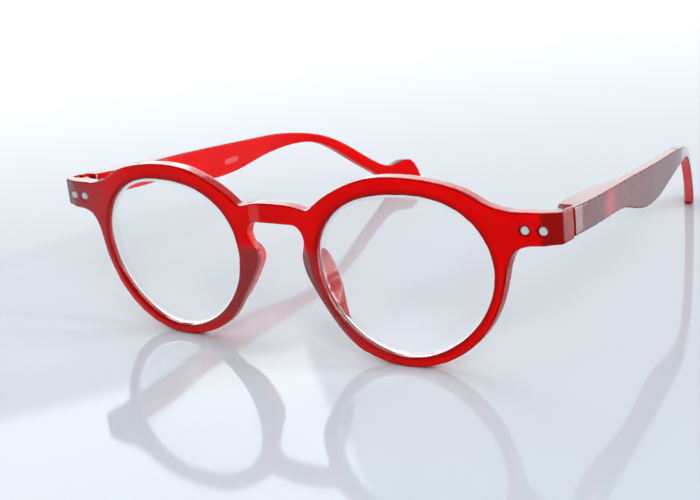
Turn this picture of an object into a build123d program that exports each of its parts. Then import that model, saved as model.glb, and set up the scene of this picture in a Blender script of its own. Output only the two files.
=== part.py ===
from build123d import *
import math
import os

# Folding reading glasses: round rims with a keyhole bridge, and two sprung side arms.
# Millimetres. +X is to the right as seen from in front, +Y runs back along the arms, +Z is up.
# Everything is drawn with y = 0 at the front of the bridge, and moved by SHIFT_Y when it is written,
# so that the origin is the middle of the footprint, on the table.

# Driving dimensions
SHIFT_Y = -73.6            # from the drawing's front to the middle of the footprint
LENS_X = 32.7              # lens centre from the middle plane
LENS_Z = 21.5              # lens centre above the table
FRONT_RADIUS = 670.0       # wrap of the front, about a vertical axis
FRONT_THICK = 3.2          # thickness of the rims
FACET_X = 65.4             # where the facet of the endpiece starts
END_CORNER = (69.2, 4.7)   # front corner of the endpiece, from above
CORNER_ROUND = 0.5

LENS_THICK = 1.8
LENS_RADIUS = 120.0        # front surface of the lens
LENS_STAND = 0.5           # lens apex ahead of the rim's front surface
TONGUE_THICK = 0.8         # edge of the lens that sits in the groove
TONGUE_REACH = 0.55
FIT = 0.05                 # clearance of a close fit

PIVOT_X = 66.4             # hinge axis
PIVOT_Y = 9.0
HINGE_Z = 33.2
KNUCKLE_R = 1.2
SCREW_R = 0.6
HINGE_HALF = 2.45          # half the height of the knuckle stack
MIDDLE_HALF = 0.75         # half the height of the middle knuckle
KNUCKLE_GAP = 0.1

PLATE_BACK = 7.3           # back face of the hinge leaf
PLATE_FRONT = 6.4
LIP_X = 68.3               # inner face of the endpiece's lip
BUTT_Y = 9.2               # back face of the endpiece
ARM_START_Y = 9.55         # front face of the side arm
POCKET_Y = 12.0            # mouth of the spring case
POCKET_X = 68.3            # outer wall of the hinge pocket in the arm
FLANGE_Y = 11.7            # front of the spring case's flange

CASE_END_Y = 23.2
CASE_HALF_X = 1.4
CASE_HALF_Z = 1.8
BORE_R = 1.05
BORE_END_Y = 22.2
ROD_R = 0.5
ROD_END_Y = 21.6
NUT_LENGTH = 1.0
BUSH_LENGTH = 1.2
SPRING_WIRE_R = 0.15
SPRING_COIL_R = 0.78
SPRING_TURNS = 8

STUD_X = (61.6, 65.5)      # the two studs of an endpiece
STUD_HEAD_R = 0.95
STUD_SHANK_R = 0.6
STUD_END_Y = 7.0

PAD_LEAN = 0.26            # nasal side of the nose pad: outwards per unit back
PAD_TAPER = -0.2           # outer side of the nose pad
PAD_START_Y = 1.6          # inside the rim
BEVEL_LEAN = -2.5          # bevel of the rim's nasal edge: sideways per unit back


def front_y(x):
    """Depth of the front surface of the rims at x."""
    return x * x / (2 * FRONT_RADIUS)


def lens_radius(angle):
    """The lens shape, rounder at the top than at the bottom, as a polar curve about its centre."""
    return (
        20.04
        + 1.46 * math.cos(2 * angle)
        + 0.31 * math.sin(2 * angle)
        + 0.61 * math.sin(3 * angle)
    )


def lens_face(grow):
    """Face of the right lens shape in the XZ plane, grown by a margin."""
    points = []
    for step in range(24):
        angle = 2 * math.pi * step / 24
        radius = lens_radius(angle) + grow
        points.append((LENS_X + radius * math.cos(angle), LENS_Z + radius * math.sin(angle)))
    return Plane.XZ * make_face(Spline(points, periodic=True))


def along_y(face, start, end, lean=0):
    """Prism of an XZ face between two depths, leaning outwards by a slope."""
    low = face.moved(Location((lean * start, start, 0)))
    return extrude(low, amount=(end - start) * math.hypot(1, lean), dir=(lean, 1, 0))


def mirror_x(shape):
    """The same piece on the other side of the middle plane."""
    return mirror(shape, about=Plane.YZ)


def both_sides(shape):
    """A feature and its mirror image."""
    return shape + mirror_x(shape)


def box_between(low, high):
    """Box from its lowest to its highest corner."""
    size = [b - a for a, b in zip(low, high)]
    middle = [(a + b) / 2 for a, b in zip(low, high)]
    return Pos(*middle) * Box(*size)


def post(x, y, radius, low, high):
    """Upright cylinder between two heights."""
    return Pos(x, y, (low + high) / 2) * Cylinder(radius, high - low)


def bar(radius, start, end, x=PIVOT_X, z=HINGE_Z):
    """Cylinder along Y between two depths."""
    return Pos(x, (start + end) / 2, z) * Rot(X=90) * Cylinder(radius, end - start)


# ---- front ----

def front_outline():
    """Right half of the outer edge, seen from in front, heights from the lens centre."""
    brow = Spline(
        [(0, 14.25), (5.4, 14.0), (8.3, 13.35), (9.5, 13.25), (11.2, 14.3), (17.8, 18.5), (25, 21.2),
         (33.5, 21.95), (42, 21.1), (49.4, 18.9), (54.3, 16.4), (58.0, 15.55), (61, 15.5)],
        tangents=[(1, 0), (1, 0)],
    )
    end_top = Line(brow @ 1, (72, 15.5))
    end = Line(end_top @ 1, (72, 8.9))
    end_bottom = Line(end @ 1, (63.5, 8.3))
    rim = Spline(
        [end_bottom @ 1, (61.0, 7.9), (59.2, 6.9), (58.0, 5.1), (57.3, 2.9), (56.8, 0.3), (55.5, -4.4),
         (53.1, -9.6), (49.1, -14.6), (42, -19.4), (33.0, -21.5), (24.0, -20.1), (16.6, -16.1), (11.8, -9.9),
         (8.5, -4.6), (6.8, -0.9), (6.5, 1.5), (7.3, 3.9), (8.0, 5.9), (7.6, 7.8), (6.4, 9.1), (4.8, 9.5)]
    )
    underside = Line(rim @ 1, (0, 9.5))
    close = Line(underside @ 1, brow @ 0)
    half = make_face([brow, end_top, end, end_bottom, rim, underside, close])
    return Plane.XZ * (Pos(0, LENS_Z) * half)


def front_plan():
    """The front from above: wrapped rims, a facet on each endpiece, and a lip round each hinge."""
    pad_x = 59.0
    back_x = 56.5
    back_y = front_y(back_x) + FRONT_THICK
    right = [
        (FACET_X, front_y(FACET_X)),
        END_CORNER,
        (69.8, BUTT_Y),
        (LIP_X, BUTT_Y),
        (LIP_X, PLATE_FRONT),
        (pad_x, PLATE_FRONT),
        (back_x, back_y),
    ]
    left = [(-x, y) for x, y in reversed(right)]
    front = ThreePointArc(left[-1], (0, 0), right[0])
    back = ThreePointArc(right[-1], (0, FRONT_THICK), left[0])
    return make_face([front, Polyline(right), back, Polyline(left)])


def nose_pad():
    """Leaf behind the right rim's nasal side. Its nasal side leans from the nose, its outer side back."""
    nasal = Spline([(8.6, 5.0), (6.9, 1.6), (6.8, -1.0), (8.6, -4.8), (11.8, -10.2), (16.4, -15.6)])
    nasal_face = make_face([nasal, Polyline([nasal @ 1, (24, -15.6), (24, 5), nasal @ 0])])
    outer = Spline([(12.6, 5.0), (12.9, 1.0), (13.8, -3.0), (14.6, -7.5), (16.0, -11.3), (19.5, -15)])
    outer_face = make_face([outer, Polyline([outer @ 1, (0, -15), (0, 5), outer @ 0])])
    leaf = along_y(Plane.XZ * (Pos(0, LENS_Z) * nasal_face), PAD_START_Y, 10, lean=PAD_LEAN)
    leaf &= along_y(Plane.XZ * (Pos(0, LENS_Z) * outer_face), PAD_START_Y, 10, lean=PAD_TAPER)
    crest = Spline(
        [(0, 5.5), (4.0, 4.0), (7.4, 0.8), (8.6, -3.0), (8.5, -7.5), (6.6, -11.8), (2.8, -15.4), (0, -17)]
    )
    side = make_face([crest, Line(crest @ 1, crest @ 0)])
    return leaf & extrude(Plane.YZ * (Pos(0, LENS_Z) * side), amount=30)


def nasal_bevel():
    """What the bevel takes off the right rim's nasal edge, widest beside the nose pad."""
    inside = Spline(
        [(8.2, 6.4), (9.0, 3.6), (9.6, 1.0), (9.9, -1.5), (11.0, -4.6), (12.8, -8.0), (15.4, -11.8),
         (18.9, -16.0), (24.5, -20.6)]
    )
    region = make_face([inside, Polyline([inside @ 1, (10, -20.6), (4, -6), (4, 6.4), inside @ 0])])
    return along_y(Plane.XZ * (Pos(0, LENS_Z) * region), -0.5, 1.6, lean=BEVEL_LEAN)


def lens_shell(outer_depth, thickness):
    """Thin spherical shell that a lens lies in, at a depth below the lens's front surface."""
    lean = math.atan(LENS_X / FRONT_RADIUS)
    apex = front_y(LENS_X) - LENS_STAND
    centre = (
        LENS_X - LENS_RADIUS * math.sin(lean),
        apex + LENS_RADIUS * math.cos(lean),
        LENS_Z,
    )
    outer = Pos(*centre) * Sphere(LENS_RADIUS - outer_depth)
    inner = Pos(*centre) * Sphere(LENS_RADIUS - outer_depth - thickness)
    near = box_between((0, -6, -10), (70, 8, 55))
    return (outer - inner) & near


def tongue_depth():
    return (LENS_THICK - TONGUE_THICK) / 2


def make_lens():
    """Right lens: a curved disc with a tongue round its edge for the groove."""
    disc = along_y(lens_face(-FIT), -6, 8) & lens_shell(0, LENS_THICK)
    tongue = along_y(lens_face(TONGUE_REACH), -6, 8) & lens_shell(tongue_depth(), TONGUE_THICK)
    return disc + tongue


def make_groove():
    """Groove of the right rim, a close fit round the lens's tongue."""
    shell = lens_shell(tongue_depth() - FIT, TONGUE_THICK + 2 * FIT)
    return along_y(lens_face(TONGUE_REACH + FIT), -6, 8) & shell


def stud_seat():
    """Through holes and shallow round recesses for the studs of the right endpiece."""
    seats = []
    for x in STUD_X:
        face_y = stud_face(x)
        seats.append(bar(STUD_SHANK_R, face_y - 1, PLATE_FRONT + 0.1, x=x))
        seats.append(bar(STUD_HEAD_R + 0.15, face_y - 1, face_y + 0.45, x=x))
    return Compound(seats)


def stud_face(x):
    """Depth of the front surface of the endpiece at a stud."""
    return front_y(x)


def make_front():
    """Rims, bridge, endpieces and nose pads, one moulding."""
    opening = lens_face(0)
    face = both_sides(front_outline()) - both_sides(opening)
    slab = extrude(front_plan().moved(Location((0, 0, -5))), amount=60)
    frame = along_y(face, -1, 12) & slab
    frame = fillet(corner_edges(frame), CORNER_ROUND)
    for side in (nasal_bevel(), mirror_x(nasal_bevel())):
        frame = frame - side
    pad = nose_pad() - along_y(opening, -6, 14)
    for piece in (pad, mirror_x(pad)):
        frame = frame + piece
    for cut in (make_groove(), stud_seat()):
        frame = frame - cut
        frame = frame - mirror_x(cut)
    return frame


def corner_edges(frame):
    """The upright edges between the facets and the sides of the endpieces."""
    corner_x, corner_y = END_CORNER
    chosen = []
    for edge in frame.edges().filter_by(Axis.Z, tolerance=5):
        middle = edge.center(CenterOf.MASS)
        if abs(abs(middle.X) - corner_x) < 0.1 and abs(middle.Y - corner_y) < 0.1:
            chosen.append(edge)
    return chosen


# ---- hinge ----

def make_plate():
    """Right hinge leaf, with its lower and upper knuckles."""
    low = HINGE_Z - HINGE_HALF
    high = HINGE_Z + HINGE_HALF
    plate = box_between((59.9, PLATE_FRONT, low + 0.05), (67.2, PLATE_BACK, high - 0.05))
    plate = fillet(plate.edges().filter_by(Axis.Y).sort_by(Axis.X)[:2], 1.0)
    stack = post(PIVOT_X, PIVOT_Y, KNUCKLE_R, low, high)
    stack += box_between((PIVOT_X - 0.9, PLATE_BACK - 0.1, low), (PIVOT_X + 0.8, PIVOT_Y, high))
    reach = MIDDLE_HALF + KNUCKLE_GAP
    slot = box_between((60, PLATE_BACK + 0.001, HINGE_Z - reach), (70, 12, HINGE_Z + reach))
    leaf = plate + (stack - slot)
    leaf -= post(PIVOT_X, PIVOT_Y, SCREW_R, low - 1, high + 1)
    for x in STUD_X:
        leaf -= bar(STUD_SHANK_R, PLATE_FRONT - 0.1, STUD_END_Y, x=x)
    return leaf


def make_studs():
    """The two studs of the right endpiece, flat round heads with a shank into the hinge leaf."""
    studs = []
    for x in STUD_X:
        face_y = stud_face(x)
        head = bar(STUD_HEAD_R, face_y + 0.1, face_y + 0.45, x=x)
        head = chamfer(head.edges().sort_by(Axis.Y)[0], 0.12)
        studs.append(head + bar(STUD_SHANK_R, face_y + 0.4, STUD_END_Y, x=x))
    return Compound(studs)


def make_screw():
    """Hinge screw, with a slotted head on the upper knuckle."""
    low = HINGE_Z - HINGE_HALF
    high = HINGE_Z + HINGE_HALF
    head = post(PIVOT_X, PIVOT_Y, 1.0, high, high + 0.55)
    head = fillet(head.edges().sort_by(Axis.Z)[-1], 0.2)
    slot = box_between((PIVOT_X - 2, PIVOT_Y - 0.15, high + 0.3), (PIVOT_X + 2, PIVOT_Y + 0.15, high + 1))
    return head - slot + post(PIVOT_X, PIVOT_Y, SCREW_R, low, high)


def make_slider():
    """Middle knuckle, its arm, and the rod that runs through the spring."""
    low = HINGE_Z - MIDDLE_HALF
    high = HINGE_Z + MIDDLE_HALF
    slider = post(PIVOT_X, PIVOT_Y, KNUCKLE_R, low, high)
    slider += box_between((PIVOT_X - 0.7, PIVOT_Y, low), (PIVOT_X + 0.7, POCKET_Y - 0.1, high))
    slider -= post(PIVOT_X, PIVOT_Y, SCREW_R + FIT, low - 1, high + 1)
    return slider + bar(ROD_R, POCKET_Y - 0.2, ROD_END_Y)


def make_nut():
    """Nut on the end of the rod."""
    start = ROD_END_Y - NUT_LENGTH
    return bar(BORE_R - 0.1, start, ROD_END_Y) - bar(ROD_R, start - 1, ROD_END_Y + 1)


def make_case():
    """Spring case, a block with rounded long edges, a blind bore and a thin flange over the arm's end."""
    low = (PIVOT_X - CASE_HALF_X, POCKET_Y, HINGE_Z - CASE_HALF_Z)
    high = (PIVOT_X + CASE_HALF_X, CASE_END_Y, HINGE_Z + CASE_HALF_Z)
    case = box_between(low, high)
    case = fillet(case.edges().filter_by(Axis.Y), 0.5)
    case += box_between((65.2, FLANGE_Y, 30.9), (68.0, POCKET_Y, 36.3))
    return case - bar(BORE_R, FLANGE_Y - 1, BORE_END_Y)


def make_bush():
    """Bush in the mouth of the case, which the rod runs through."""
    end = POCKET_Y + BUSH_LENGTH
    return bar(BORE_R, POCKET_Y, end) - bar(ROD_R + FIT, POCKET_Y - 1, end + 1)


def make_spring():
    """Compression spring between the bush and the nut."""
    start = POCKET_Y + BUSH_LENGTH + SPRING_WIRE_R + 0.05
    end = ROD_END_Y - NUT_LENGTH - SPRING_WIRE_R - 0.05
    coil = Helix((end - start) / SPRING_TURNS, end - start, SPRING_COIL_R)
    section = Plane(origin=coil @ 0, z_dir=coil % 0) * Circle(SPRING_WIRE_R)
    wire = sweep(section, path=coil)
    return Pos(PIVOT_X, start, HINGE_Z) * Rot(X=-90) * wire


# ---- side arm ----

def arm_side():
    """The arm from the side: straight top, belly below, neck, drop, and a fishtail tip on the table."""
    top = Line((ARM_START_Y, 36.75), (84, 30.2))
    drop = Spline(
        [top @ 1, (97, 28.2), (107, 25.3), (115, 21.3), (124, 14.9), (130, 10.6), (134, 8.6), (137.5, 8.3),
         (141, 8.9), (144, 8.2), (146, 5.4), (147.1, 1.6), (146.4, 0.25)],
        tangents=[(1, -0.0875), (-0.7, -1)],
    )
    foot = Line((145.7, 0), (141.5, 0))
    heel = Line(drop @ 1, foot @ 0)
    under = Spline(
        [foot @ 1, (137, 1.3), (130, 6.3), (122, 12.1), (113, 18.9), (105, 23.2), (97, 24.8), (88, 24.9),
         (79, 24.1), (71, 23.0), (64, 22.7), (56, 23.4), (47, 25.9), (39, 28.0), (31, 28.9),
         (ARM_START_Y, 30.6)],
        tangents=[(-1, 0), (-1, 0.08)],
    )
    end = Line(under @ 1, top @ 0)
    return Plane.YZ * make_face([top, drop, heel, foot, under, end])


def arm_plan():
    """The arm from above: thick at the hinge, stepping down to a slim strip that curves inwards."""
    outer = Spline(
        [(69.85, ARM_START_Y), (69.6, 25), (68.5, 42), (67.5, 60), (66.4, 75), (64.9, 90), (60.8, 110),
         (55.4, 130), (48.6, 150)]
    )
    inner = Spline(
        [(45.4, 150), (52.7, 130), (58.3, 110), (62.4, 90), (64.0, 75), (65.05, 60), (65.6, 48), (65.3, 40),
         (64.5, 33.5), (64.15, 27), (64.4, 18), (65.2, POCKET_Y)]
    )
    tip = Line(outer @ 1, inner @ 0)
    mouth = Polyline([inner @ 1, (POCKET_X, POCKET_Y), (POCKET_X, ARM_START_Y), outer @ 0])
    return make_face([outer, tip, inner, mouth])


def make_arm():
    side = extrude(arm_side().moved(Location((40, 0, 0))), amount=35)
    plan = extrude(arm_plan().moved(Location((0, 0, -5))), amount=50)
    arm = side & plan
    room = 0.02
    pocket_low = (PIVOT_X - CASE_HALF_X - room, POCKET_Y - 1, HINGE_Z - CASE_HALF_Z - room)
    pocket_high = (PIVOT_X + CASE_HALF_X + room, CASE_END_Y + room, HINGE_Z + CASE_HALF_Z + room)
    return arm - box_between(pocket_low, pocket_high)


def write(name, shape):
    """Write one node."""
    placed = shape.moved(Location((0, SHIFT_Y, 0)))
    placed.label = name
    export_step(placed, f"parts/{name}.step")


def main():
    os.makedirs("parts", exist_ok=True)
    write("front_frame", make_front())
    right_pieces = {
        "lens": make_lens(),
        "rivets": make_studs(),
        "hinge_plate": make_plate(),
        "hinge_screw": make_screw(),
        "slider": make_slider(),
        "rod_nut": make_nut(),
        "spring_case": make_case(),
        "stop_bush": make_bush(),
        "spring": make_spring(),
        "temple": make_arm(),
    }
    for name, piece in right_pieces.items():
        write(f"right_{name}", piece)
        write(f"left_{name}", mirror_x(piece))


main()
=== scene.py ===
import math

import bpy
from mathutils import Matrix, Vector


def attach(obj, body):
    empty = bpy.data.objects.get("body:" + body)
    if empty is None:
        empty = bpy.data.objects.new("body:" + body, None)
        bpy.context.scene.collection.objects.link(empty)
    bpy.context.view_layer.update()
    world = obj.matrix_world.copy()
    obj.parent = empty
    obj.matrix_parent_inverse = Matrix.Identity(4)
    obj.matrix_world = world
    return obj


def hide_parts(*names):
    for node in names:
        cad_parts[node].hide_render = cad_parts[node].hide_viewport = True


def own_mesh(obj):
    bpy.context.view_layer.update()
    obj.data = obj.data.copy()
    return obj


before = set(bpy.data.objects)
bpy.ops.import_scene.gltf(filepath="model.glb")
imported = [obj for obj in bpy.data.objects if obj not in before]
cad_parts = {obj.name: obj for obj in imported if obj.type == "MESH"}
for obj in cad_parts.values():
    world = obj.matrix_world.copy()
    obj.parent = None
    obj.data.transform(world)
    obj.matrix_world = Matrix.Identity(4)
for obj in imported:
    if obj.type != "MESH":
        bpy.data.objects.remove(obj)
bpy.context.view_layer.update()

# All lengths below are in millimetres, unless said otherwise
MM = 0.001
SIDES = {"left": -1, "right": 1}
HINGE_PARTS = ("hinge_plate", "hinge_screw", "slider", "rod_nut", "spring_case", "stop_bush")

# Lens, in the drawing's frame, where the front's foremost point is at y 0
FRONT_Y = -73.6  # y of that point in the row frame
LENS_X = 32.7
LENS_Z = 21.5
LENS_SHAPE = (20.04, 1.46, 0.31, 0.61)  # mean radius, and the sizes of its cos 2a, sin 2a and sin 3a waves
FRONT_RADIUS = 670.0
LENS_CURVE = 120.0
LENS_STAND = 0.5
LENS_THICK = 1.8
LENS_EDGE = (  # growth past the lens's outline and depth below its front face, round the groove's tongue
    (-0.12, 0.0), (-0.05, 0.1), (-0.05, 0.5), (0.5, 0.5),
    (0.5, 1.3), (-0.05, 1.3), (-0.05, 1.7), (-0.12, LENS_THICK),
)
LENS_STEPS = 192
LENS_RINGS = 24

# Nose gap: height of its narrowest place, half its width there, and how it spreads below, in metres
# per metre of height squared
NOSE_Z = 22.5
NOSE_HALF = 6.5
NOSE_SPREAD = 50.0

# Bridge, hinge and studs
BAND_X = -4.9
HINGE_Z = 33.2
STUD_X = (61.6, 65.5)
GAP_Y = -64.22

# Arms: where a painted glow, as of light through the plastic behind the spring case, lifts the painted
# shade of the outer face, its long faint trail, and the plain mark
GLOW_Y = -43.0
GLOW_Z = 31.9
TRAIL_Y = -27.0
TRAIL_SQUEEZE = 0.3
MARK_Y = -6.5
MARK_Z = 26.5
MARK_HALF = 2.2

# Mesh of each moulding: size of its squares, and how many times it is smoothed
FRONT_MESH = (0.25, 12)
ARM_MESH = (0.22, 4)

# Colours of the plastic, and the darker reds painted as shade
RED_DEEP = (0.78, 0.0005, 0.0005, 1)
RED_BRIGHT = (0.86, 0.001, 0.001, 1)
RED_SIDE_SHADE = (0.14, 0.0, 0.0, 1)
RED_FLANK_SHADE = (0.26, 0.004, 0.004, 1)
RED_EDGE_SHADE = (0.08, 0.0, 0.0, 1)
RED_HINGE_SHADE = (0.20, 0.006, 0.006, 1)
RED_END_SHADE = (0.16, 0.01, 0.01, 1)
PINK_MARK = (0.85, 0.35, 0.33, 1)

# Plastic of the front and of the arms: polish seen face on and from the side, and its index; polish left
# on the top; strength of the painted shade on the sides and on the top; curvature from which painted shade
# darkens edges
FRONT_PLASTIC = {
    "shine_from": 0.35, "shine_to": 0.45, "shine_index": 1.9, "top_shine": 1.0,
    "side_shade_strength": 0.6, "top_shade_strength": 0.5, "edge_shade_from": 0.51,
}
ARM_PLASTIC = {
    "shine_from": 0.41, "shine_to": 0.48, "shine_index": 2.2, "top_shine": 0.35,
    "side_shade_strength": 0.97, "top_shade_strength": 0.97, "edge_shade_from": 0.56,
}

# Metals: light and dark colour, lowest and highest roughness, stretch of the brush marks
DULL_NICKEL = ((0.62, 0.61, 0.60, 1), (0.42, 0.41, 0.40, 1), 0.22, 0.38, (1, 0.1, 1))
STUD_STEEL = ((1.0, 0.99, 0.97, 1), (0.85, 0.84, 0.82, 1), 0.25, 0.4, (1, 1, 0.2))

# Table, in metres, and its colours
FLOOR_HALF = 3.0
FLOOR_DARK = (0.56, 0.62, 0.68, 1)
FLOOR_LIGHT = (0.60, 0.655, 0.71, 1)

# Room: brightness by height, from the horizon to straight up
ROOM_BANDS = (
    (0.0, (0.50, 0.52, 0.54, 1)),
    (0.12, (0.42, 0.4326, 0.4494, 1)),
    (0.28, (0.14, 0.1442, 0.1498, 1)),
    (0.60, (0.14, 0.1442, 0.1498, 1)),
    (1.0, (0.85, 0.88, 0.92, 1)),
)

# Lights: name, place and target in metres, width, height, watts, colour, and whether polish mirrors it
WHITE = (1, 1, 1)
WARM = (1.0, 0.97, 0.92)
LIGHTS = (
    ("window", (-1.6, 2.4, 1.15), (0, 0, 0.4), 4.0, 2.2, 34, WHITE, True),
    ("side_card", (1.9, 2.2, 0.9), (0, 0, 0), 1.6, 1.6, 32, WHITE, True),
    ("front_fill", (0.33, -0.42, 0.36), (0.03, -0.07, 0.02), 0.25, 0.2, 1.7, WHITE, False),
    ("sun", (1.5, 0.25, 0.8), (0, 0, 0), 0.06, 0.06, 4, WARM, True),
    ("left_wash", (-0.5, 0.3, 0.5), (-0.14, 0.05, 0), 0.5, 0.5, 1.5, WHITE, True),
)

# Camera: place in metres, angles in degrees, focal length
CAMERA_PLACE = (0.1656, -0.2864, 0.1061)
CAMERA_AZIMUTH = 34.26
CAMERA_ELEVATION = 17.17
CAMERA_ROLL = -5.87
CAMERA_LENS = 63.02
CAMERA_SENSOR = 36.0


def link(obj):
    bpy.context.scene.collection.objects.link(obj)
    return obj


# ---- materials ----

class Nodes:
    """A material's node tree, with short calls to add and join nodes."""

    def __init__(self, name):
        self.material = bpy.data.materials.new(name)
        self.material.use_nodes = True
        self.tree = self.material.node_tree
        self.tree.nodes.clear()
        coordinates = self.add("ShaderNodeTexCoord")
        self.place = coordinates.outputs["Object"]
        self.normal = coordinates.outputs["Normal"]

    def add(self, kind, **inputs):
        node = self.tree.nodes.new(kind)
        for name, value in inputs.items():
            self.put(node.inputs[name.replace("_", " ")], value)
        return node

    def put(self, socket, value):
        """Join a value to a socket if it comes from a node, or else set it on the socket."""
        if isinstance(value, bpy.types.NodeSocket):
            self.tree.links.new(value, socket)
        else:
            socket.default_value = value

    def along(self, axis):
        """A point's place along an axis, in metres."""
        return self.add("ShaderNodeSeparateXYZ", Vector=self.place).outputs[axis]

    def turned(self, axis):
        """How far the surface is turned towards an axis, from -1 to 1."""
        return self.add("ShaderNodeSeparateXYZ", Vector=self.normal).outputs[axis]

    def noise(self, scale, detail=4.0, stretch=(1, 1, 1)):
        """Noise with a size of 1 / scale metres, stretched along an axis."""
        spread = self.add("ShaderNodeMapping", Vector=self.place, Scale=stretch)
        texture = self.add("ShaderNodeTexNoise", Vector=spread.outputs[0], Scale=scale, Detail=detail)
        return texture.outputs["Fac"]

    def ramp(self, value, low, high, start=0.0, end=1.0):
        """Value mapped from start and end to low and high, clamped."""
        node = self.add("ShaderNodeMapRange", Value=value)
        for name, number in (("From Min", start), ("From Max", end), ("To Min", low), ("To Max", high)):
            node.inputs[name].default_value = number
        return node.outputs["Result"]

    def zone(self, value, low, high, start, end):
        """The same, with start and end in millimetres."""
        return self.ramp(value, low, high, start * MM, end * MM)

    def math(self, operation, *values):
        node = self.tree.nodes.new("ShaderNodeMath")
        node.operation = operation
        for socket, value in zip(node.inputs, values):
            self.put(socket, value)
        return node.outputs["Value"]

    def product(self, first, *others):
        for other in others:
            first = self.math("MULTIPLY", first, other)
        return first

    def gap(self, value, target):
        """How far a value is from a target."""
        return self.math("ABSOLUTE", self.math("SUBTRACT", value, target))

    def distance(self, place, point):
        """How far a place is from a point given in millimetres."""
        node = self.tree.nodes.new("ShaderNodeVectorMath")
        node.operation = "DISTANCE"
        self.tree.links.new(place, node.inputs[0])
        node.inputs[1].default_value = [length * MM for length in point]
        return node.outputs["Value"]

    def mix(self, factor, first, second):
        node = self.tree.nodes.new("ShaderNodeMix")
        node.data_type = "RGBA"
        colours = [socket for socket in node.inputs if socket.type == "RGBA"]
        for socket, value in ((node.inputs["Factor"], factor), (colours[0], first), (colours[1], second)):
            self.put(socket, value)
        return [socket for socket in node.outputs if socket.type == "RGBA"][0]

    def bump(self, height, distance, strength):
        node = self.add("ShaderNodeBump", Height=height, Distance=distance, Strength=strength)
        return node.outputs["Normal"]

    def finish(self, shader):
        output = self.add("ShaderNodeOutputMaterial")
        self.tree.links.new(shader.outputs[0], output.inputs["Surface"])
        return self.material


def red_plastic(name, shine_from, shine_to, shine_index, top_shine, side_shade_strength, top_shade_strength, edge_shade_from):
    """Glossy translucent moulded plastic, coloured through, with faint streaks and fine handling marks."""
    n = Nodes(name)
    flank_shade_and_shine = nose_flank(n)
    end = left_end_shade_and_shine(n)
    streaks = n.noise(260.0, 5.0, stretch=(1, 0.25, 1))
    shader = n.add(
        "ShaderNodeBsdfPrincipled",
        Base_Color=plastic_colour(n, flank_shade_and_shine, end, side_shade_strength, top_shade_strength, edge_shade_from),
        Roughness=n.ramp(streaks, 0.14, 0.22, 0.3, 0.7),
        Normal=n.bump(n.noise(1400.0, 2.0), 0.00002, 0.25),
        IOR=1.45, Specular_Tint=(1.0, 0.12, 0.12, 1),
        Subsurface_Weight=1.0, Subsurface_Scale=0.002, Subsurface_Radius=(1.0, 0.05, 0.05),
        Coat_Weight=plastic_shine(n, flank_shade_and_shine, end, shine_from, shine_to, top_shine),
        Coat_IOR=shine_index, Coat_Roughness=0.07,
    )
    return n.finish(shader)


def plastic_colour(n, flank_shade_and_shine, end, side_shade_strength, top_shade_strength, edge_shade_from):
    """Slightly cloudy red, with painted shade on the outer sides, tops, nasal and lens edges, rounded
    edges, over the hinge metal and at the left end, a painted glow on the arms' outer faces, and the left
    arm's pale mark."""
    edge = n.add("ShaderNodeNewGeometry").outputs["Pointiness"]
    clouds = n.noise(90.0, 3.0)
    colour = n.mix(n.ramp(clouds, 0, 1, 0.35, 0.65), RED_DEEP, RED_BRIGHT)
    # painted shade on outer sides and tops, with a painted glow on the arms' outer faces
    colour = n.mix(side_shade(n, side_shade_strength, top_shade_strength), colour, RED_SIDE_SHADE)
    # painted shade on the nasal flanks and round the lens openings
    colour = n.mix(n.math("MAXIMUM", flank_shade_and_shine, lens_rim_shade(n)), colour, RED_FLANK_SHADE)
    # painted shade on rounded edges, by their curvature
    colour = n.mix(n.ramp(edge, 0, 0.9, edge_shade_from, edge_shade_from + 0.06), colour, RED_EDGE_SHADE)
    # painted shade over the hinge metal, in the hinge gap and round the studs
    colour = n.mix(hinge_shade(n), colour, RED_HINGE_SHADE)
    # painted shade at the left end of the front
    colour = n.mix(n.product(end, 0.55), colour, RED_END_SHADE)
    return n.mix(arm_mark(n), colour, PINK_MARK)


def plastic_shine(n, flank_shade_and_shine, end, shine_from, shine_to, top_shine):
    """Polish, stronger when seen from the side, on the nasal edges, on one band of the bridge and at
    the left end, and weaker on undersides, some tops and the endpieces' outer sides."""
    facing = n.add("ShaderNodeLayerWeight", Blend=0.5).outputs["Facing"]
    upward = n.turned("Z")
    shine = n.product(
        n.ramp(facing, 0, 1, shine_from, shine_to),
        n.ramp(upward, 0, 1, -0.3, 0.0),
        end_dulling(n),
        n.ramp(upward, 1, top_shine, 0.5, 0.9),
    )
    shine = n.math("MAXIMUM", shine, n.product(n.math("MAXIMUM", flank_shade_and_shine, bridge_band(n)), 0.5))
    return n.math("MAXIMUM", shine, n.product(end, 0.62))


def nose_flank(n):
    """How near a point of the front is to the rims' nasal edges, below the keyhole, where shade is painted
    and the polish raised.
    """
    height = n.math("SUBTRACT", n.along("Z"), NOSE_Z * MM)
    # the nasal edge is a parabola, NOSE_HALF from the middle at its top
    drop = n.math("POWER", n.math("MINIMUM", height, 0.0), 2.0)
    edge = n.math("MULTIPLY_ADD", drop, NOSE_SPREAD, NOSE_HALF * MM)
    away = n.math("SUBTRACT", n.math("ABSOLUTE", n.along("X")), edge)
    near = n.zone(away, 0.85, 0, 3.0, 6.4)
    above = n.zone(height, 1, 0, 0.5, 3.5)
    below = n.zone(height, 0, 1, -23, -14)
    ahead = n.zone(n.along("Y"), 1, 0, -71.0, -69.5)
    return n.product(near, ahead, above, below)


def left_end_shade_and_shine(n):
    """How near a point is to the left end of the front's face, where painted shade darkens the colour and
    the polish is raised.
    """
    ahead = n.zone(n.along("Y"), 1, 0, -69.6, -69.0)
    return n.product(n.zone(n.along("X"), 1, 0, -64, -50), ahead)


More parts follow.
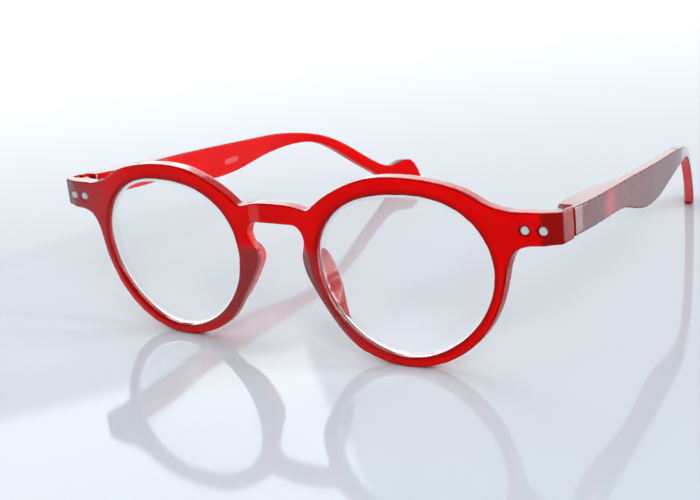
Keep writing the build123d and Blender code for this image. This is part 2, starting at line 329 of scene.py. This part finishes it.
def end_dulling(n):
    """Share of the polish that is left on the outer sides of the endpieces."""
    outermost = n.zone(n.math("ABSOLUTE", n.along("X")), 0, 0.6, 68.4, 69.0)
    ahead = n.zone(n.along("Y"), 1, 0, -64.4, -64.2)
    return n.math("SUBTRACT", 1.0, n.product(outermost, ahead))


def bridge_band(n):
    """Polished upright band at one end of the bridge."""
    near = n.zone(n.gap(n.along("X"), BAND_X * MM), 1, 0, 1.0, 1.8)
    above = n.zone(n.along("Z"), 0, 1, 29.5, 31.5)
    ahead = n.zone(n.along("Y"), 1, 0, -73.3, -73.0)
    return n.product(near, above, ahead)


def lens_rim_shade(n):
    """How near a point of the front is to the edge of a lens opening, from the lens's polar curve, for
    painted shade there.
    """
    x = n.math("DIVIDE", n.math("SUBTRACT", n.math("ABSOLUTE", n.along("X")), LENS_X * MM), MM)
    z = n.math("DIVIDE", n.math("SUBTRACT", n.along("Z"), LENS_Z * MM), MM)
    angle = n.math("ARCTAN2", z, x)
    radius = n.math("SQRT", n.math("ADD", n.product(x, x), n.product(z, z)))
    away = n.math("SUBTRACT", radius, LENS_SHAPE[0])
    for wave, times, size in zip(("COSINE", "SINE", "SINE"), (2.0, 2.0, 3.0), LENS_SHAPE[1:]):
        bulge = n.product(n.math(wave, n.product(angle, times)), size)
        away = n.math("SUBTRACT", away, bulge)
    ahead = n.zone(n.along("Y"), 1, 0, -65.0, -64.5)
    return n.product(n.ramp(away, 0.75, 0, 0.2, 1.5), ahead)


def side_shade(n, side_shade_strength, top_shade_strength):
    """Painted shade on the outer sides and the top, lifted on the arms' outer faces by a painted glow
    behind the spring case and its faint trail.
    """
    outward = n.product(n.turned("X"), n.math("SIGN", n.along("X")))
    flat = n.add("ShaderNodeCombineXYZ", Y=n.along("Y"), Z=n.along("Z"))
    spot = n.zone(n.distance(flat.outputs[0], (0, GLOW_Y, GLOW_Z)), 0.2, 1, 1, 5.5)
    squeezed = n.add("ShaderNodeCombineXYZ", Y=n.product(n.along("Y"), TRAIL_SQUEEZE), Z=n.along("Z"))
    trail = n.zone(n.distance(squeezed.outputs[0], (0, TRAIL_SQUEEZE * TRAIL_Y, GLOW_Z)), 0.85, 1, 1, 8)
    beyond = n.zone(n.math("ABSOLUTE", n.along("X")), 0, 1, 25, 40)
    outer = n.product(n.ramp(outward, 0, side_shade_strength, 0.15, 0.5), spot, trail, beyond)
    return n.math("MAXIMUM", outer, n.ramp(n.turned("Z"), 0, top_shade_strength, 0.2, 0.55))


def hinge_shade(n):
    """Painted shade on the plastic over the hinge metal, in the gap beside it, and in a ring round each
    stud.
    """
    across = n.math("ABSOLUTE", n.along("X"))
    beyond = n.zone(across, 0, 1, 64.7, 65.4)
    ahead = n.zone(n.along("Y"), 1, 0, -66.5, -64.2)
    shade = n.product(beyond, ahead, 0.6)
    in_gap = n.zone(n.gap(n.along("Y"), GAP_Y * MM), 0.95, 0, 0.2, 0.35)
    shade = n.math("MAXIMUM", shade, n.product(in_gap, beyond))
    flat = n.add("ShaderNodeCombineXYZ", X=across, Z=n.along("Z"))
    for stud in STUD_X:
        away = n.distance(flat.outputs[0], (stud, 0, HINGE_Z))
        shade = n.math("MAXIMUM", shade, n.product(n.zone(away, 0.9, 0, 1.05, 1.4), ahead))
    return shade


def arm_mark(n):
    """A pale pill shape on the inner face of the left arm."""
    past = n.math("MAXIMUM", n.math("SUBTRACT", n.gap(n.along("Y"), MARK_Y * MM), MARK_HALF * MM), 0.0)
    above = n.math("SUBTRACT", n.along("Z"), MARK_Z * MM)
    away = n.math("SQRT", n.math("ADD", n.math("POWER", past, 2.0), n.math("POWER", above, 2.0)))
    inner = n.product(n.ramp(n.turned("X"), 0, 1, 0.5, 0.7), n.zone(n.along("X"), 1, 0, -50, -20))
    return n.product(n.zone(away, 0.45, 0, 0.5, 1.0), inner)


def clear_lens():
    """Polished optical plastic, with the faint haze of wiping, which casts hardly any shadow."""
    n = Nodes("clear_lens")
    haze = n.ramp(n.noise(55.0, 6.0, stretch=(1, 1, 0.3)), 0.0, 0.02, 0.45, 0.8)
    glass = n.add(
        "ShaderNodeBsdfPrincipled", Base_Color=(1, 1, 1, 1), Roughness=haze, IOR=1.5,
        Transmission_Weight=1.0,
    )
    see = n.add("ShaderNodeBsdfTransparent", Color=(0.96, 0.97, 0.97, 1))
    path = n.add("ShaderNodeLightPath")
    both = n.tree.nodes.new("ShaderNodeMixShader")
    n.tree.links.new(path.outputs["Is Shadow Ray"], both.inputs[0])
    n.tree.links.new(glass.outputs[0], both.inputs[1])
    n.tree.links.new(see.outputs[0], both.inputs[2])
    return n.finish(both)


def metal(name, light, dark, low, high, stretch):
    """Brushed metal with a little grime in its colour."""
    n = Nodes(name)
    grime = n.noise(500.0, 4.0)
    brush = n.noise(3000.0, 3.0, stretch=stretch)
    shader = n.add(
        "ShaderNodeBsdfPrincipled", Base_Color=n.mix(grime, dark, light), Metallic=1.0,
        Roughness=n.ramp(brush, low, high, 0.3, 0.7), Normal=n.bump(brush, 0.00001, 0.4),
    )
    return n.finish(shader)


def table_top():
    """Glossy pale table, with very slightly uneven colour and polish."""
    n = Nodes("table_top")
    patches = n.noise(6.0, 3.0)
    shader = n.add(
        "ShaderNodeBsdfPrincipled", Base_Color=n.mix(patches, FLOOR_DARK, FLOOR_LIGHT),
        Roughness=n.ramp(patches, 0.05, 0.08), IOR=1.33,
    )
    return n.finish(shader)


# ---- pieces ----

def piece_for(name, mesh, body, node, material):
    """A piece that rides on a body, stands in for a CAD node and takes the given material."""
    piece = link(bpy.data.objects.new(name, mesh))
    piece.data.materials.clear()
    piece.data.materials.append(material)
    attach(piece, body)
    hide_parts(node)
    return piece


def moulded(name, node, body, square, passes, material):
    """The CAD node's form as a fine even mesh with its sharp edges rounded off."""
    piece = piece_for(name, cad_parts[node].data.copy(), body, node, material)
    skin = piece.modifiers.new("even_mesh", "REMESH")
    skin.mode = "VOXEL"
    skin.voxel_size = square * MM
    skin.use_smooth_shade = True
    rounding = piece.modifiers.new("rounding", "SMOOTH")
    rounding.factor = 0.5
    rounding.iterations = passes


def spring(name, material):
    """The coil spring, which on the real arm shortens towards its bush as the arm is pulled out; here it is
    a fixed copy of the CAD node's mesh.
    """
    node = f"{name}_spring"
    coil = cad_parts[node].data.copy()
    piece = piece_for(f"{name}_coil_spring", coil, f"{name}_arm", node, material)
    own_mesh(piece)


def lens_radius(angle):
    """The lens shape as a polar curve about its centre."""
    mean, wide, slant, round_top = LENS_SHAPE
    return mean + wide * math.cos(2 * angle) + slant * math.sin(2 * angle) + round_top * math.sin(3 * angle)


def lens_points(side):
    """Points of a meniscus lens, ring by ring: its front's middle, its rings, and its back's middle."""
    lean = math.atan(LENS_X / FRONT_RADIUS)
    apex = LENS_X**2 / (2 * FRONT_RADIUS) - LENS_STAND
    centre = Vector((LENS_X - LENS_CURVE * math.sin(lean), apex + LENS_CURVE * math.cos(lean), LENS_Z))
    # each ring: share of the lens radius, growth past it, and depth below the front face
    rings = [(k / LENS_RINGS, 0.0, 0.0) for k in range(1, LENS_RINGS)]
    rings += [(1, growth, depth) for growth, depth in LENS_EDGE]
    rings += [(k / LENS_RINGS, 0.0, LENS_THICK) for k in range(LENS_RINGS - 1, 0, -1)]
    points = []

    def put(x, z, depth):
        reach = LENS_CURVE - depth
        y = centre.y - math.sqrt(reach**2 - (x - centre.x) ** 2 - (z - centre.z) ** 2)
        points.append((side * x * MM, (y + FRONT_Y) * MM, z * MM))

    put(LENS_X, LENS_Z, 0.0)
    for share, growth, depth in rings:
        for step in range(LENS_STEPS):
            angle = 2 * math.pi * step / LENS_STEPS
            radius = lens_radius(angle) * share + growth
            put(LENS_X + radius * math.cos(angle), LENS_Z + radius * math.sin(angle), depth)
    put(LENS_X, LENS_Z, LENS_THICK)
    return points, len(rings)


def lens_mesh(name, side):
    """Meniscus lens: two spherical faces and an edge that ends in the groove's tongue."""
    points, rings = lens_points(side)
    last = len(points) - 1
    faces = []
    for step in range(LENS_STEPS):
        after = (step + 1) % LENS_STEPS
        faces.append((0, 1 + step, 1 + after))
        for ring in range(rings - 1):
            low = 1 + ring * LENS_STEPS
            high = low + LENS_STEPS
            faces.append((low + step, high + step, high + after, low + after))
        faces.append((last, last - LENS_STEPS + after, last - LENS_STEPS + step))
    if side < 0:
        faces = [tuple(reversed(face)) for face in faces]
    mesh = bpy.data.meshes.new(name)
    mesh.from_pydata(points, [], faces)
    mesh.shade_smooth()
    return mesh


def lens(name, side, material):
    mesh = lens_mesh(name, side)
    piece_for(f"{name}_lens_glass", mesh, "front", f"{name}_lens", material)


def coat_node(node, material):
    """Put a material on a CAD node that is shown as it is."""
    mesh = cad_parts[node].data
    mesh.materials.clear()
    mesh.materials.append(material)


# ---- studio ----

def floor(material):
    mesh = bpy.data.meshes.new("floor")
    corners = [(x * FLOOR_HALF, y * FLOOR_HALF, 0) for x, y in ((-1, -1), (1, -1), (1, 1), (-1, 1))]
    mesh.from_pydata(corners, [], [(0, 1, 2, 3)])
    mesh.materials.append(material)
    return link(bpy.data.objects.new("floor", mesh))


def area_light(name, place, target, width, height, power, colour, mirrored):
    data = bpy.data.lights.new(name, "AREA")
    data.shape = "RECTANGLE"
    data.size = width
    data.size_y = height
    data.energy = power
    data.color = colour
    obj = link(bpy.data.objects.new(name, data))
    obj.location = place
    obj.rotation_euler = (Vector(target) - Vector(place)).to_track_quat("-Z", "Y").to_euler()
    obj.visible_camera = False
    obj.visible_glossy = mirrored


def surroundings():
    """A pale room: light at the horizon and overhead, dimmer between."""
    world = bpy.data.worlds.new("surroundings")
    world.use_nodes = True
    tree = world.node_tree
    direction = tree.nodes.new("ShaderNodeTexCoord").outputs["Generated"]
    height = tree.nodes.new("ShaderNodeSeparateXYZ")
    tree.links.new(direction, height.inputs[0])
    bands = tree.nodes.new("ShaderNodeValToRGB")
    tree.links.new(height.outputs["Z"], bands.inputs["Fac"])
    stops = bands.color_ramp.elements
    for stop, (position, colour) in zip(stops, (ROOM_BANDS[0], ROOM_BANDS[-1])):
        stop.position = position
        stop.color = colour
    for position, colour in ROOM_BANDS[1:-1]:
        stops.new(position).color = colour
    tree.links.new(bands.outputs["Color"], tree.nodes["Background"].inputs["Color"])
    bpy.context.scene.world = world


def camera():
    """Camera in front, to the right and a little above, tilted about its axis."""
    azimuth = math.radians(CAMERA_AZIMUTH)
    elevation = math.radians(CAMERA_ELEVATION)
    roll = math.radians(CAMERA_ROLL)
    forward = Vector((
        -math.sin(azimuth) * math.cos(elevation),
        math.cos(azimuth) * math.cos(elevation),
        -math.sin(elevation),
    ))
    level = Vector((math.cos(azimuth), math.sin(azimuth), 0))
    upright = level.cross(forward)
    right = level * math.cos(roll) + upright * math.sin(roll)
    up = upright * math.cos(roll) - level * math.sin(roll)
    data = bpy.data.cameras.new("camera")
    data.sensor_width = CAMERA_SENSOR
    data.lens = CAMERA_LENS
    data.clip_start = 0.01
    obj = link(bpy.data.objects.new("camera", data))
    turn = Matrix((right, up, -forward)).transposed().to_4x4()
    obj.matrix_world = Matrix.Translation(CAMERA_PLACE) @ turn
    bpy.context.scene.camera = obj


def glasses():
    front_red = red_plastic("front_plastic", **FRONT_PLASTIC)
    arm_red = red_plastic("arm_plastic", **ARM_PLASTIC)
    glass = clear_lens()
    nickel = metal("dull_nickel", *DULL_NICKEL)
    steel = metal("stud_steel", *STUD_STEEL)
    moulded("front_moulding", "front_frame", "front", *FRONT_MESH, front_red)
    for name, side in SIDES.items():
        moulded(f"{name}_arm_moulding", f"{name}_temple", f"{name}_arm", *ARM_MESH, arm_red)
        lens(name, side, glass)
        spring(name, nickel)
        coat_node(f"{name}_rivets", steel)
        for part in HINGE_PARTS:
            coat_node(f"{name}_{part}", nickel)


def studio():
    floor(table_top())
    surroundings()
    for light in LIGHTS:
        area_light(*light)
    camera()
    bpy.context.scene.view_settings.view_transform = "Standard"


glasses()
studio()
